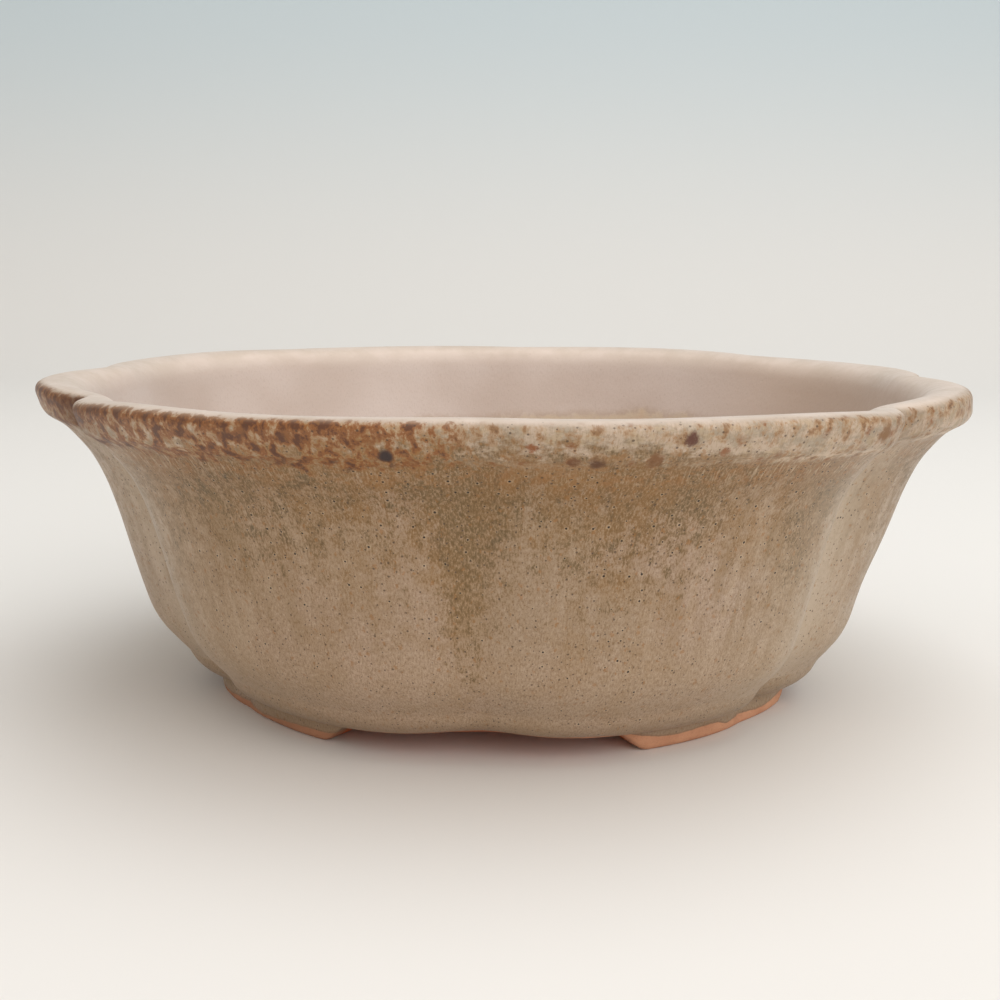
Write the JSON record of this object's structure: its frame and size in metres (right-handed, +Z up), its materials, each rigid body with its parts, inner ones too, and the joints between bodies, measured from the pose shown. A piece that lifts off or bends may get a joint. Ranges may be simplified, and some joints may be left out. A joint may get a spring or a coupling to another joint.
{
  "type": "bonsai pot",
  "caption": "Round lobed bonsai pot with a flared wall and thick everted lip, standing on short arc feet, with screened drainage holes in its floor.",
  "frame": {"origin": "on the ground plane, under the centre of the foot ring", "axes": "+Z up; -Y is the front, where two broad lobes meet; +X to the right seen from the front"},
  "size_m": [0.2665, 0.2648, 0.092],
  "materials": {
    "wall_glaze": "satin-gloss beige glaze, mottled olive and ochre below the lip",
    "lip_glaze": "satin-gloss pale grey-beige glaze with rust-brown iron spots",
    "bare_clay": "unglazed fired clay, orange-pink, fine grain",
    "screen_plastic": "extruded dark plastic mesh",
    "staple_wire": "brown anodised soft aluminium wire"
  },
  "bodies": {
    "root": {"wall_shell": "wall_glaze", "lip_band": "lip_glaze", "floor_slab": "bare_clay", "foot_front_right": "bare_clay", "foot_front_left": "bare_clay", "foot_back_right": "bare_clay", "foot_back_left": "bare_clay", "drain_screen_left": "screen_plastic", "drain_screen_right": "screen_plastic", "screen_staple_left": "staple_wire", "screen_staple_right": "staple_wire"}
  },
  "joints": []
}
